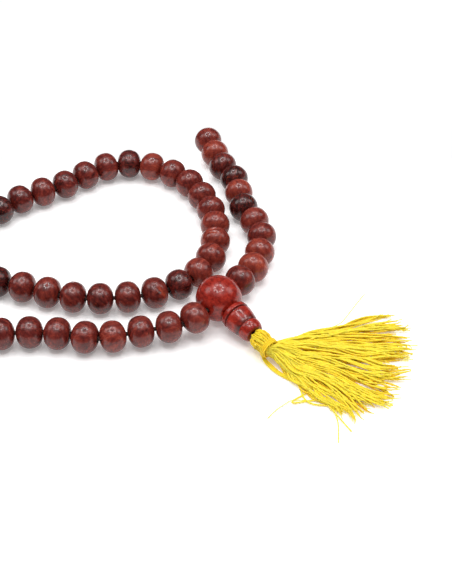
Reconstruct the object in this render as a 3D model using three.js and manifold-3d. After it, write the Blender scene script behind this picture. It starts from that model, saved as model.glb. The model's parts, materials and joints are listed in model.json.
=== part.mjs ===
// A mala: a string of 108 wooden prayer beads laid on a table in a folded loop. The string's two ends
// meet in the larger guru bead and leave it together, through the turned tower bead (the stupa), into
// a cotton tassel. Millimetres, +Z up, resting on z = 0.
import * as THREE from 'three';
import { mergeVertices } from 'three/addons/utils/BufferGeometryUtils.js';
import Module from 'manifold-3d';

// ---- driving dimensions, mm ----
const BEAD_COUNT = 108;
const BEAD_DIAMETER = 8;
const BEAD_LENGTH = 6.4; // along the string: a bead is a little flatter than a ball
const BEAD_BORE = 1.8;
const BEAD_SLACK = 0.4; // bare string between two beads
const BEAD_SIDES = 8;
const BEAD_BANDS = 3; // from the hole's edge to the belly
const RUN_NECK = 3; // what joins the beads of a plain run
const RUN_SIDES = 6;
const RUN_BANDS = 2;

const STRING_DIAMETER = 1;
const TAIL_DIAMETER = 1.6; // the string's two ends side by side
const TUBE_SIDES = 8;
const BORE_SIDES = 12; // of the guru bead's bores

const GURU_DIAMETER = 11.5;
const GURU_SIDE_BORE = 1.8;
const GURU_OUTLET_BORE = 2.4;
const GURU_BORE_AZIMUTH = 60; // degrees, the straight bore that both strands enter
const GURU_BORE_TILT = -5;
const OUTLET_AZIMUTH = -52; // the bore that the tower bead and the tassel hang from
const TURNED_SIDES = 20; // of the guru bead and the tower bead
const WOUND_SIDES = 16; // of the tassel's round pieces

const STUPA_BORE = 2.4;
const DISH_RADIUS = 30; // of the hollow in the collar's face
const COLLAR_DIAMETER = 7.3;
const COLLAR_THICKNESS = 1.2;
const COLLAR_ROUNDING = 0.25;
const BODY_DIAMETER = 7.3;
const BODY_LENGTH = 4.1;
const WAIST_DIAMETER = 5.6;
const CAP_DIAMETER = 5.8;
const CAP_LENGTH = 2.7;
const MOUTH_DIAMETER = 4.4;
const GROOVE_WIDTH = 0.35;

const HEAD_DIAMETER = 4.8;
const HEAD_LENGTH = 4.1;
const HEAD_WALL = 0.8;
const HEAD_MOUTH = 2;
const KNOT_DIAMETER = 2.4;
const KNOT_SIDES = 10;
const KNOT_BANDS = 6;
const NECK_DIAMETER = 3.6;
const BINDING_THICKNESS = 0.6; // of the turns around the neck
const BINDING_WIDTH = 1.6;
const BINDING_ROUNDING = 0.25;
const BINDING_LIFT = 0.6; // of the binding's lower end over the table
const NECK_IN_SKIRT = 3; // how far the neck runs on past the binding
const SKIRT_START = 1.5; // the fan's origin, from the binding
const SKIRT_HEIGHT = 3.6;
const SKIRT_SCALE = 1; // of the fan's outline
// The fan's outline on the table, from its origin, mm.
const SKIRT_OUTLINE = [
  [1, 1.5], [3.5, 4.5], [9, 8], [19, 12.5], [29, 16.5], [36, 16.5], [37, 8],
  [36, 1], [34, -6], [29.5, -13], [24, -19], [17, -19.5], [10.5, -12.5], [5.5, -7.5], [-1, -2.5],
];

const CLEARANCE = 0.3; // between solids that meet

// ---- the string's route ----
// Points chosen by hand along the table, for 8 mm beads, each from the guru bead's hole where its
// strand leaves. A strand's points spread with the beads' diameter, so that wider beads stay apart.
const FOLDED_STRAND = [
  [-1.5, -3], [-16, -5], [-26, -7.5], [-38, -5], [-51.5, -6], [-64.5, -7],
  [-79.5, -10], [-90, -4.5], [-95, 7], [-90, 18.5], [-77, 23.5], [-63.5, 18.5],
  [-54.5, 14], [-43, 10.5], [-31, 7], [-16.5, 8], [-10.5, 10], [-4, 14.5],
  [0, 20], [2, 27.5], [2, 33.5], [1, 42.5], [-3.5, 52.5], [-7.5, 58],
  [-13.5, 62], [-20, 64.5], [-28.5, 64], [-33.5, 60], [-41, 53.5], [-51, 48.5],
  [-58, 41], [-65, 36], [-74, 33.5], [-85, 33.5],
];
const OUTER_STRAND = [
  [5, 5.5], [7, 13], [8.5, 19.5], [7.5, 26], [2.5, 35.5], [2, 46],
  [-4, 56], [-6, 66.5], [-16, 75], [-27, 85],
];
const RISE_OF_FIRST_POINTS = [0.8, 0.1]; // share of the way up from bead height to guru height
const RISE_OF_LAST_POINT = 0.4;
const LEAD = 3; // straight string at each of the guru's holes
const FAR_BEND_RADIUS = 36;
const FAR_BEND_Y = 68;
const FAR_BEND_ANGLES = [250, 225, 190, 155, 125, 100];
const NEAREST_REACH = 40; // the far bend's least and most distance from the guru bead
const FARTHEST_REACH = 400;
const HALVINGS = 60; // of the reach between them
const CURVE_STEPS = 40; // between two points of the route
const LEG_POINTS = 2; // between the far bend and each strand
const LAYOUT_BEAD = 8; // the bead diameter that the points above were chosen for

// Beads that lie in plain, unturned runs; every other bead turns on the string by itself.
const RUNS = [[9, 16], [17, 23], [48, 57], [58, 67], [68, 77], [78, 87], [88, 96]];

// ---- materials ----
const rosewood = () => new THREE.MeshStandardMaterial({ color: 0x6b2320, roughness: 0.42 });
const redWood = () => new THREE.MeshStandardMaterial({ color: 0xa8382a, roughness: 0.45 });
const darkString = () => new THREE.MeshStandardMaterial({ color: 0x2a1512, roughness: 0.9 });
const yellowCotton = () => new THREE.MeshStandardMaterial({ color: 0xf5d21e, roughness: 0.85 });

// ---- small helpers ----
const wasm = await Module();
wasm.setup();

function toSolid(geometry) {
  const bare = geometry.clone();
  bare.deleteAttribute('normal');
  bare.deleteAttribute('uv');
  const merged = mergeVertices(bare, 1e-4);
  const mesh = new wasm.Mesh({
    numProp: 3,
    vertProperties: new Float32Array(merged.attributes.position.array),
    triVerts: new Uint32Array(merged.index.array),
  });
  return new wasm.Manifold(mesh);
}

function toGeometry(solid) {
  const mesh = solid.getMesh();
  const geometry = new THREE.BufferGeometry();
  geometry.setAttribute('position', new THREE.BufferAttribute(mesh.vertProperties, 3));
  geometry.setIndex(new THREE.BufferAttribute(mesh.triVerts, 1));
  geometry.computeVertexNormals();
  return geometry;
}

function direction(azimuth, tilt) {
  const a = THREE.MathUtils.degToRad(azimuth);
  const t = THREE.MathUtils.degToRad(tilt);
  return new THREE.Vector3(Math.cos(a) * Math.cos(t), Math.sin(a) * Math.cos(t), Math.sin(t));
}

// The tower bead and the tassel's head lean down until the binding all but lies on the table.
function outletTilt() {
  const drop = guruRadius - bindingRadius() - BINDING_LIFT;
  const reach = headEnd() + CLEARANCE + BINDING_WIDTH;
  return THREE.MathUtils.radToDeg(-Math.asin(drop / reach));
}

// A mesh turned about the local Y axis, stood along `axis` at `position`.
function place(mesh, position, axis) {
  mesh.position.copy(position);
  mesh.quaternion.setFromUnitVectors(new THREE.Vector3(0, 1, 0), axis);
  return mesh;
}

function named(name, geometry, material) {
  const mesh = new THREE.Mesh(geometry, material);
  mesh.name = name;
  return mesh;
}

// A turned piece: `profile` holds [radius, height] and closes on itself.
function turned(profile, sides) {
  const points = profile.map(([radius, height]) => new THREE.Vector2(radius, height));
  points.push(points[0].clone());
  return new THREE.LatheGeometry(points, sides);
}

// A path through corners, straight between them, with one step for each stretch.
class CorneredPath extends THREE.Curve {
  constructor(corners) {
    super();
    this.corners = corners;
  }
  getPoint(t) {
    const last = this.corners.length - 1;
    const i = Math.min(Math.floor(t * last + 1e-6), last - 1);
    return this.corners[i].clone().lerp(this.corners[i + 1], t * last - i);
  }
  getPointAt(t) {
    return this.getPoint(t);
  }
  getTangent(t) {
    const last = this.corners.length - 1;
    const i = Math.round(t * last);
    const before = this.corners[Math.max(i - 1, 0)];
    const after = this.corners[Math.min(i + 1, last)];
    return after.clone().sub(before).normalize();
  }
  getTangentAt(t) {
    return this.getTangent(t);
  }
}

function tube(corners, diameter, sides = TUBE_SIDES) {
  const outline = new THREE.Shape();
  for (let i = 0; i < sides; i++) {
    const a = (2 * Math.PI * i) / sides;
    const x = (diameter / 2) * Math.cos(a);
    const y = (diameter / 2) * Math.sin(a);
    if (i === 0) outline.moveTo(x, y);
    else outline.lineTo(x, y);
  }
  outline.closePath();
  return new THREE.ExtrudeGeometry(outline, {
    steps: corners.length - 1,
    extrudePath: new CorneredPath(corners),
  });
}

// ---- where everything lies ----
const beadRadius = BEAD_DIAMETER / 2;
const guruRadius = GURU_DIAMETER / 2;
const pitch = BEAD_LENGTH + BEAD_SLACK;
const spread = BEAD_DIAMETER / LAYOUT_BEAD;
const guruCentre = new THREE.Vector3(0, 0, guruRadius);
const boreAxis = direction(GURU_BORE_AZIMUTH, GURU_BORE_TILT);
const outletAxis = direction(OUTLET_AZIMUTH, outletTilt());
const holeReach = guruRadius + BEAD_SLACK / 2;
const firstHole = guruCentre.clone().addScaledVector(boreAxis, -holeReach);
const lastHole = guruCentre.clone().addScaledVector(boreAxis, holeReach);

function onTable(hole, [x, y], rise = 0) {
  const height = beadRadius + rise * (guruRadius - beadRadius);
  return new THREE.Vector3(hole.x + x * spread, hole.y + y * spread, height);
}

// The whole route, with the far bend `reach` to the left of the guru bead.
function routePoints(reach) {
  const folded = FOLDED_STRAND.map((p, i) => onTable(firstHole, p, RISE_OF_FIRST_POINTS[i]));
  const outer = OUTER_STRAND.map((p, i) => onTable(lastHole, p, i === 0 ? RISE_OF_LAST_POINT : 0));
  const bend = FAR_BEND_ANGLES.map((degrees) => {
    const a = THREE.MathUtils.degToRad(degrees);
    const x = FAR_BEND_RADIUS * spread * Math.cos(a) - reach;
    const y = (FAR_BEND_Y + FAR_BEND_RADIUS * Math.sin(a)) * spread;
    return new THREE.Vector3(x, y, beadRadius);
  });
  const leg = (from, to) => {
    const points = [];
    for (let k = 1; k <= LEG_POINTS; k++) points.push(from.clone().lerp(to, k / (LEG_POINTS + 1)));
    return points;
  };
  return [
    firstHole,
    firstHole.clone().addScaledVector(boreAxis, -LEAD),
    ...folded,
    ...leg(folded.at(-1), bend[0]),
    ...bend,
    ...leg(bend.at(-1), outer.at(-1)),
    ...outer.reverse(),
    lastHole.clone().addScaledVector(boreAxis, LEAD),
    lastHole,
  ];
}

// Steps along the route in straight strides of one bead and its slack, as beads sit on a string.
// Returns the corners between the beads and the length that is left over at the end.
function stride(reach) {
  const points = routePoints(reach);
  const curve = new THREE.CatmullRomCurve3(points, false, 'catmullrom', 0.5);
  const fine = curve.getPoints((points.length - 1) * CURVE_STEPS);
  const corners = [fine[0].clone()];
  let here = fine[0].clone();
  let next = 1;
  while (corners.length <= BEAD_COUNT && next < fine.length) {
    const from = corners.at(-1);
    if (fine[next].distanceTo(from) < pitch) {
      here = fine[next].clone();
      next++;
      continue;
    }
    const step = fine[next].clone().sub(here);
    const back = here.clone().sub(from);
    const a = step.lengthSq();
    const b = 2 * step.dot(back);
    const c = back.lengthSq() - pitch * pitch;
    here.addScaledVector(step, (-b + Math.sqrt(b * b - 4 * a * c)) / (2 * a));
    corners.push(here.clone());
  }
  let left = -(BEAD_COUNT + 1 - corners.length) * pitch;
  if (corners.length > BEAD_COUNT && next < fine.length) {
    left = here.distanceTo(fine[next]);
    for (let i = next; i + 1 < fine.length; i++) left += fine[i].distanceTo(fine[i + 1]);
  }
  return { corners, left };
}

// The far bend lies as far out as lets the beads fill the string.
function closeLoop() {
  let near = NEAREST_REACH * spread;
  let far = FARTHEST_REACH * spread;
  for (let halving = 0; halving < HALVINGS; halving++) {
    const middle = (near + far) / 2;
    if (stride(middle).left > 0) far = middle;
    else near = middle;
  }
  return stride(far).corners;
}

const corners = closeLoop();
const beads = [];
for (let i = 0; i < BEAD_COUNT; i++) {
  const centre = corners[i].clone().add(corners[i + 1]).multiplyScalar(0.5);
  const axis = corners[i + 1].clone().sub(corners[i]).normalize();
  beads.push({ number: i + 1, centre, axis });
}

// ---- the beads ----
// A bead's outline from one end of its hole to the other, on a flattened circle.
function beadProfile(bands) {
  const half = [];
  const atHole = Math.asin(BEAD_BORE / BEAD_DIAMETER);
  for (let i = 0; i <= bands; i++) {
    const a = atHole + ((Math.PI / 2 - atHole) * i) / bands;
    half.push([beadRadius * Math.sin(a), (-BEAD_LENGTH / 2) * Math.cos(a)]);
  }
  const other = half.slice(0, -1).reverse();
  return [...half, ...other.map(([radius, height]) => [radius, -height])];
}

function beadName(number) {
  return `bead_${String(number).padStart(3, '0')}`;
}

function turningBead(bead) {
  const geometry = turned(beadProfile(BEAD_BANDS), BEAD_SIDES);
  return place(named(beadName(bead.number), geometry, rosewood()), bead.centre, bead.axis);
}

// A bead before it is bored.
function blankBead(bead) {
  const points = beadProfile(RUN_BANDS).map(([radius, height]) => new THREE.Vector2(radius, height));
  points[0].x = 0;
  points.at(-1).x = 0;
  const mesh = new THREE.Mesh(new THREE.LatheGeometry(points, RUN_SIDES));
  place(mesh, bead.centre, bead.axis).updateMatrix();
  return toSolid(mesh.geometry.applyMatrix4(mesh.matrix));
}

// Beads first to last, joined by short necks and bored through along the string.
function beadRun([first, last]) {
  const stretch = corners.slice(first - 1, last + 1);
  const neckEnds = stretch.map((p) => p.clone());
  neckEnds[0].lerp(stretch[1], 0.5);
  neckEnds[neckEnds.length - 1].lerp(stretch[stretch.length - 2], 0.5);
  const boreEnds = stretch.map((p) => p.clone());
  boreEnds[0].addScaledVector(beads[first - 1].axis, -BEAD_SLACK);
  boreEnds[boreEnds.length - 1].addScaledVector(beads[last - 1].axis, BEAD_SLACK);
  let run = toSolid(tube(neckEnds, RUN_NECK, RUN_SIDES));
  for (const bead of beads.slice(first - 1, last)) run = run.add(blankBead(bead));
  run = run.subtract(toSolid(tube(boreEnds, BEAD_BORE, RUN_SIDES)));
  const name = `beads_${String(first).padStart(3, '0')}_to_${String(last).padStart(3, '0')}`;
  return named(name, toGeometry(run), rosewood());
}

// ---- the string ----
// One length through all the beads, with both ends inside the guru bead's straight bore.
function stringNode() {
  const inside = guruRadius - TAIL_DIAMETER / 2 - CLEARANCE - BEAD_SLACK;
  const route = [
    firstHole.clone().addScaledVector(boreAxis, inside),
    ...corners,
    lastHole.clone().addScaledVector(boreAxis, -inside),
  ];
  return named('string', tube(route, STRING_DIAMETER), darkString());
}

// Its two ends, laid together through the guru bead's outlet and the tower bead.
function stringTail() {
  const from = guruCentre.clone();
  const to = guruCentre.clone().addScaledVector(outletAxis, stupaMouth() - CLEARANCE);
  return named('string_tail', tube([from, to], TAIL_DIAMETER), darkString());
}

// ---- the guru bead: a ball with a straight bore and an outlet that meets it ----
// A round bar along `axis`, from and to these distances from the origin.
function bore(axis, diameter, from, to) {
  const geometry = new THREE.CylinderGeometry(diameter / 2, diameter / 2, to - from, BORE_SIDES);
  geometry.translate(0, (from + to) / 2, 0);
  const mesh = place(new THREE.Mesh(geometry), new THREE.Vector3(), axis);
  mesh.updateMatrix();
  return toSolid(geometry.applyMatrix4(mesh.matrix));
}

function guruBead() {
  const ball = new THREE.SphereGeometry(guruRadius, TURNED_SIDES, TURNED_SIDES / 2);
  ball.rotateX(Math.PI / 2);
  const through = guruRadius + CLEARANCE;
  const solid = toSolid(ball)
    .subtract(bore(boreAxis, GURU_SIDE_BORE, -through, through))
    .subtract(bore(outletAxis, GURU_OUTLET_BORE, 0, through));
  const mesh = named('guru_bead', toGeometry(solid), redWood());
  mesh.position.copy(guruCentre);
  return mesh;
}

// ---- the tower bead, turned in one piece; heights are from the guru bead's centre ----
// The collar's face, dished a little, with the edge of its hole just clear of the guru bead.
function collarFace(radius) {
  const hole = STUPA_BORE / 2;
  const sag = (r) => DISH_RADIUS - Math.sqrt(DISH_RADIUS * DISH_RADIUS - r * r);
  return Math.sqrt(guruRadius * guruRadius - hole * hole) + CLEARANCE + sag(hole) - sag(radius);
}

function collarFront() {
  return collarFace(COLLAR_DIAMETER / 2 - COLLAR_ROUNDING);
}

function stupaMouth() {
  return collarFront() + COLLAR_THICKNESS + GROOVE_WIDTH + BODY_LENGTH + CAP_LENGTH;
}

function stupa() {
  const collar = COLLAR_DIAMETER / 2;
  const body = BODY_DIAMETER / 2;
  const waist = WAIST_DIAMETER / 2;
  const cap = CAP_DIAMETER / 2;
  const mouth = MOUTH_DIAMETER / 2;
  const hole = STUPA_BORE / 2;
  const front = collarFront();
  const back = front + COLLAR_THICKNESS;
  const bodyStart = back + GROOVE_WIDTH;
  const capStart = bodyStart + BODY_LENGTH;
  const end = stupaMouth();
  // A point of the body or the cap: its share of the way from the narrow end out to the wide one.
  const bulge = (narrow, wide, share, height) => [narrow + (wide - narrow) * share, height];
  const profile = [
    [hole, collarFace(hole)],
    [collar - COLLAR_ROUNDING, front],
    [collar, front + COLLAR_ROUNDING],
    [collar, back - COLLAR_ROUNDING],
    [collar - GROOVE_WIDTH, back],
    [body - GROOVE_WIDTH, bodyStart],
    [body, bodyStart + GROOVE_WIDTH],
    bulge(waist, body, 0.9, bodyStart + BODY_LENGTH * 0.45),
    bulge(waist, body, 0.5, bodyStart + BODY_LENGTH * 0.8),
    [waist, capStart - GROOVE_WIDTH / 2],
    [cap, capStart + GROOVE_WIDTH / 2],
    bulge(mouth, cap, 0.8, capStart + CAP_LENGTH * 0.5),
    bulge(mouth, cap, 0.4, capStart + CAP_LENGTH * 0.85),
    [mouth, end],
    [hole, end],
  ];
  const mesh = named('stupa', turned(profile, TURNED_SIDES), redWood());
  return place(mesh, guruCentre, outletAxis);
}

// ---- the tassel, hung at the tower bead's mouth ----
function headMiddle() {
  return stupaMouth() + CLEARANCE + HEAD_DIAMETER / 2;
}

function headEnd() {
  return stupaMouth() + CLEARANCE + HEAD_LENGTH;
}

// The folded tops of the threads: a hollow bulb around the string's knot, round so that the tassel
// can swing about the knot below the tower bead.
function tasselHead() {
  const middle = headMiddle();
  const end = headEnd();
  const outer = HEAD_DIAMETER / 2;
  const hollow = outer - HEAD_WALL;
  const onBall = (radius, ball) => [radius, middle - Math.sqrt(ball * ball - radius * radius)];
  const profile = [
    onBall(HEAD_MOUTH / 2, outer),
    onBall(outer * 0.7, outer),
    onBall(outer * 0.93, outer),
    [outer, middle],
    [outer, middle + HEAD_LENGTH * 0.2],
    [NECK_DIAMETER / 2, end],
    [HEAD_MOUTH / 2, end],
    [hollow, end - HEAD_WALL],
    [hollow, middle - hollow * 0.4],
    onBall(HEAD_MOUTH / 2, hollow),
  ];
  const mesh = named('tassel_head', turned(profile, WOUND_SIDES), yellowCotton());
  return place(mesh, guruCentre, outletAxis);
}

function stringKnot() {
  const ball = new THREE.SphereGeometry(KNOT_DIAMETER / 2, KNOT_SIDES, KNOT_BANDS);
  const mesh = named('string_knot', ball, darkString());
  return place(mesh, guruCentre.clone().addScaledVector(outletAxis, headMiddle()), outletAxis);
}

function bindingRadius() {
  return NECK_DIAMETER / 2 + CLEARANCE + BINDING_THICKNESS;
}

// The thread wound around the tassel's neck.
function tasselBinding() {
  const inner = NECK_DIAMETER / 2 + CLEARANCE;
  const outer = bindingRadius();
  const start = headEnd() + CLEARANCE;
  const profile = [
    [inner, start],
    [outer - BINDING_ROUNDING, start],
    [outer, start + BINDING_ROUNDING],
    [outer, start + BINDING_WIDTH - BINDING_ROUNDING],
    [outer - BINDING_ROUNDING, start + BINDING_WIDTH],
    [inner, start + BINDING_WIDTH],
  ];
  const mesh = named('tassel_binding', turned(profile, WOUND_SIDES), yellowCotton());
  return place(mesh, guruCentre, outletAxis);
}

// The loose threads: a neck through the binding, then a fan lying flat on the table.
function tasselSkirt() {
  const bindingStart = headEnd() + CLEARANCE;
  const bindingEnd = bindingStart + BINDING_WIDTH;
  const neck = bore(outletAxis, NECK_DIAMETER, bindingStart, bindingEnd + NECK_IN_SKIRT);
  const origin = outletAxis.clone().multiplyScalar(bindingEnd + SKIRT_START);
  const onFan = ([x, y]) => new THREE.Vector2(origin.x + x * SKIRT_SCALE, origin.y + y * SKIRT_SCALE);
  const outline = new THREE.Shape(SKIRT_OUTLINE.map(onFan));
  const fan = new THREE.ExtrudeGeometry(outline, { depth: SKIRT_HEIGHT, bevelEnabled: false });
  fan.translate(0, 0, -guruRadius);
  const mesh = named('tassel_skirt', toGeometry(toSolid(fan).add(neck)), yellowCotton());
  mesh.position.copy(guruCentre);
  return mesh;
}

// ---- the mala ----
const mala = new THREE.Group();
mala.add(stringNode(), stringTail(), guruBead(), stupa());
mala.add(tasselHead(), stringKnot(), tasselBinding(), tasselSkirt());
for (const run of RUNS) mala.add(beadRun(run));
const inRuns = new Set(RUNS.flatMap(([a, b]) => Array.from({ length: b - a + 1 }, (_, i) => a + i)));
for (const bead of beads) {
  if (!inRuns.has(bead.number)) mala.add(turningBead(bead));
}

// The origin is the middle of the footprint, on the table.
mala.updateMatrixWorld(true);
const box = new THREE.Box3().setFromObject(mala, true);
mala.position.set(-(box.min.x + box.max.x) / 2, -(box.min.y + box.max.y) / 2, -box.min.z);

export default mala;
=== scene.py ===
"""A mala laid on a pale table: 108 rosewood beads, a guru bead, a tower bead and a cotton tassel."""

import json
import math
import random

import bmesh
import bpy
from mathutils import Matrix, Vector, noise

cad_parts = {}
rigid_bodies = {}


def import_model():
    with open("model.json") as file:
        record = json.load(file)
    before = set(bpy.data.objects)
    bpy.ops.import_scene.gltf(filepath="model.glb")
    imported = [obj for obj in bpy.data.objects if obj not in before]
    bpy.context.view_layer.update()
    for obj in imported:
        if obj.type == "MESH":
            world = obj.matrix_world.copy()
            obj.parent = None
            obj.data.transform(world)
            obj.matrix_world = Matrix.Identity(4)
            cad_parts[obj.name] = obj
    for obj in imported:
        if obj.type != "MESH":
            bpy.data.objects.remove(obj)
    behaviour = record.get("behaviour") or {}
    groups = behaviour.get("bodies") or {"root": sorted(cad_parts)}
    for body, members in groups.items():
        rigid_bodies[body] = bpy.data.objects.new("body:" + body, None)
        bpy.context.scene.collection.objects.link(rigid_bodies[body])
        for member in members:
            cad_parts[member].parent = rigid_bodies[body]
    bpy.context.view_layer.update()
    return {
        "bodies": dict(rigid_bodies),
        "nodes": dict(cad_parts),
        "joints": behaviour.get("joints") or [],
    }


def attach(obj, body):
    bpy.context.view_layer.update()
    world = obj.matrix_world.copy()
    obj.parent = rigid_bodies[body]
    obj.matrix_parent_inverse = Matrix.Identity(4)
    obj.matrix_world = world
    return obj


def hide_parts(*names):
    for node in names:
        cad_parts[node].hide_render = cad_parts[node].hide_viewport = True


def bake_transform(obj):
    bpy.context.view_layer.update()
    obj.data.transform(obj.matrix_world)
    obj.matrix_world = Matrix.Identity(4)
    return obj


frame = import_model()
MM = 0.001
UP = Vector((0, 0, 1))
joints = {joint["name"]: joint for joint in frame["joints"]}
guru_centre = Vector(joints["guru_swing"]["pos_m"])
guru_bore = -Vector(joints["guru_swing"]["axis"])
outlet = Vector(joints["stupa_spin"]["axis"])
knot_centre = Vector(joints["tassel_swing"]["pos_m"])

# ---- The camera ----
# A short telephoto looking down at the guru bead and its tassel. Its range ends just short of bead 97:
# the string from there on and the table behind it stay out of sight.
CAMERA_TILT = math.radians(41.31)
CAMERA_DISTANCE = 298.7 * MM
CAMERA_AIM = Vector((1.74 * MM, 4.33 * MM, 0))  # from the guru bead's place on the table
CAMERA_LENS = 74.05
CAMERA_SENSOR = 36
NEAREST_SHOWN = 10 * MM
CUT_BEFORE_BEAD = 4.05 * MM  # how far short of bead 97's centre the range ends
BEAD_RADIUS = 4 * MM

aim = Vector((guru_centre.x, guru_centre.y, BEAD_RADIUS)) + CAMERA_AIM
sight = Vector((0, math.cos(CAMERA_TILT), -math.sin(CAMERA_TILT)))
camera = bpy.data.objects.new("camera", bpy.data.cameras.new("camera"))
bpy.context.scene.collection.objects.link(camera)
bpy.context.scene.camera = camera
camera.location = aim - sight * CAMERA_DISTANCE
camera.rotation_mode = "QUATERNION"
camera.rotation_quaternion = sight.to_track_quat("-Z", "Y")
camera.data.sensor_width = CAMERA_SENSOR
camera.data.lens = CAMERA_LENS
camera.data.clip_start = NEAREST_SHOWN
first_hidden = Vector(joints["wood_bead_097_spin"]["pos_m"])
camera.data.clip_end = (first_hidden - camera.location).dot(sight) - CUT_BEFORE_BEAD

# ---- The string ----
# One dark braided cotton cord, 1 mm thick, through every bead. Both its ends meet in the guru bead.
# It runs straight through each bead and turns only in the gap between two beads.
BEAD_PITCH = 6.8 * MM
BEAD_SLACK = 0.4 * MM
BEAD_COUNT = 108
FOLDED_STRAND = [
    (-1.5, -3), (-16, -5), (-26, -7.5), (-38, -5), (-51.5, -6), (-64.5, -7),
    (-79.5, -10), (-90, -4.5), (-95, 7), (-90, 18.5), (-77, 23.5), (-63.5, 18.5),
    (-54.5, 14), (-43, 10.5), (-31, 7), (-16.5, 8), (-10.5, 10), (-4, 14.5),
    (0, 20), (2, 27.5), (2, 33.5), (1, 42.5), (-3.5, 52.5), (-7.5, 58),
    (-13.5, 62), (-20, 64.5), (-28.5, 64), (-33.5, 60), (-41, 53.5), (-51, 48.5),
    (-58, 41), (-65, 36), (-74, 33.5), (-85, 33.5),
]
OUTER_STRAND = [
    (5, 5.5), (7, 13), (8.5, 19.5), (7.5, 26), (2.5, 35.5), (2, 46),
    (-4, 56), (-6, 66.5), (-16, 75), (-27, 85),
]
RISE_OF_FIRST_POINTS = [0.8, 0.1]  # share of the way up from bead height to guru height
RISE_OF_LAST_POINT = 0.4
LEAD = 3 * MM
FAR_BEND_RADIUS = 36
FAR_BEND_Y = 68
FAR_BEND_ANGLES = [250, 225, 190, 155, 125, 100]
LEG_POINTS = 2
NEAREST_REACH, FARTHEST_REACH = 0.04, 0.4  # metres, where the far bend may lie
HALVINGS = 40
CURVE_STEPS = 40
GURU_RADIUS = 5.75 * MM
STRING_RADIUS = 0.5 * MM
STRING_SIDES = 10
STRING_SHARES = (0.03, 0.2, 0.4, 0.6, 0.8, 0.97)  # its points along each bead
DEPTH_IN_GURU = 1.5 * MM  # the ends stop this and half a slack short of the guru bead's centre
BRAID = {"twist": 2600, "lobe": 0.08, "lobes": 3}

table_height = guru_centre.z - GURU_RADIUS
hole_reach = GURU_RADIUS + BEAD_SLACK / 2
first_hole = guru_centre - guru_bore * hole_reach
last_hole = guru_centre + guru_bore * hole_reach


def on_table(hole, point, rise=0):
    """A point of the route, in mm from a hole, with the string at bead height or on its way up."""
    height = table_height + BEAD_RADIUS + rise * (GURU_RADIUS - BEAD_RADIUS)
    return Vector((hole.x + point[0] * MM, hole.y + point[1] * MM, height))


def route_points(reach):
    """The string's whole route, with the far bend this far to the left of the guru bead."""
    rises = RISE_OF_FIRST_POINTS + [0] * len(FOLDED_STRAND)
    folded = [on_table(first_hole, point, rise) for point, rise in zip(FOLDED_STRAND, rises)]
    outer = [on_table(last_hole, point) for point in OUTER_STRAND]
    outer[0] = on_table(last_hole, OUTER_STRAND[0], RISE_OF_LAST_POINT)
    bend = []
    for degrees in FAR_BEND_ANGLES:
        angle = math.radians(degrees)
        x = FAR_BEND_RADIUS * math.cos(angle)
        y = FAR_BEND_Y + FAR_BEND_RADIUS * math.sin(angle)
        bend.append(on_table(guru_centre - Vector((reach, 0, 0)), (x, y)))

    def leg(start, end):
        return [start.lerp(end, k / (LEG_POINTS + 1)) for k in range(1, LEG_POINTS + 1)]

    return [
        first_hole, first_hole - guru_bore * LEAD, *folded, *leg(folded[-1], bend[0]), *bend,
        *leg(bend[-1], outer[-1]), *reversed(outer), last_hole + guru_bore * LEAD, last_hole,
    ]


def smooth_curve(points, steps):
    """A Catmull-Rom curve through the points, with this many steps between two of them."""
    ends = [points[0] * 2 - points[1], *points, points[-1] * 2 - points[-2]]
    curve = []
    for a, b, c, d in zip(ends, ends[1:], ends[2:], ends[3:]):
        for k in range(steps):
            t = k / steps
            curve.append(0.5 * (2 * b + t * (c - a) + t * t * (2 * a - 5 * b + 4 * c - d)
                                + t ** 3 * (3 * b - a - 3 * c + d)))
    return curve + [points[-1].copy()]


def stride(reach):
    """The gaps between the beads, one stride apart, and the length left over at the end."""
    fine = smooth_curve(route_points(reach), CURVE_STEPS)
    gaps = [fine[0]]
    here = fine[0]
    following = 1
    while len(gaps) <= BEAD_COUNT and following < len(fine):
        if (fine[following] - gaps[-1]).length < BEAD_PITCH:
            here = fine[following]
            following += 1
            continue
        step = fine[following] - here
        back = here - gaps[-1]
        a = step.length_squared
        b = 2 * step.dot(back)
        c = back.length_squared - BEAD_PITCH ** 2
        here = here + step * ((-b + math.sqrt(b * b - 4 * a * c)) / (2 * a))
        gaps.append(here)
    if len(gaps) <= BEAD_COUNT:
        return gaps, -1
    return gaps, sum((q - p).length for p, q in zip([here] + fine[following:], fine[following:]))


# The far bend is moved until the string is exactly as long as its beads need.
near, far = NEAREST_REACH, FARTHEST_REACH
for _ in range(HALVINGS):
    middle = (near + far) / 2
    if stride(middle)[1] > 0:
        far = middle
    else:
        near = middle
gaps = stride(far)[0]


def srgb(code):
    """A hex colour as Blender's linear values."""
    parts = [int(code[i:i + 2], 16) / 255 for i in (1, 3, 5)]
    return (*[p / 12.92 if p <= 0.04045 else ((p + 0.055) / 1.055) ** 2.4 for p in parts], 1)


def add(tree, kind, inputs=None, **settings):
    """A node of this kind, with its settings, and its inputs set to values or linked to sockets."""
    node = tree.nodes.new(kind)
    for key, value in settings.items():
        setattr(node, key, value)
    for key, value in (inputs or {}).items():
        if isinstance(value, bpy.types.NodeSocket):
            tree.links.new(value, node.inputs[key])
        else:
            node.inputs[key].default_value = value
    return node


def ramp(tree, factor, *stops):
    """A colour ramp of (position, hex colour) stops."""
    node = add(tree, "ShaderNodeValToRGB", {"Fac": factor})
    elements = node.color_ramp.elements
    for i, (position, code) in enumerate(stops):
        element = elements[i] if i < 2 else elements.new(position)
        element.position = position
        element.color = srgb(code)
    return node.outputs["Color"]


def new_material(name):
    """An empty material, its node tree and its one shader."""
    material = bpy.data.materials.new(name)
    material.use_nodes = True
    tree = material.node_tree
    tree.nodes.clear()
    shader = add(tree, "ShaderNodeBsdfPrincipled")
    add(tree, "ShaderNodeOutputMaterial", {"Surface": shader.outputs["BSDF"]})
    return material, tree, shader


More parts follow.
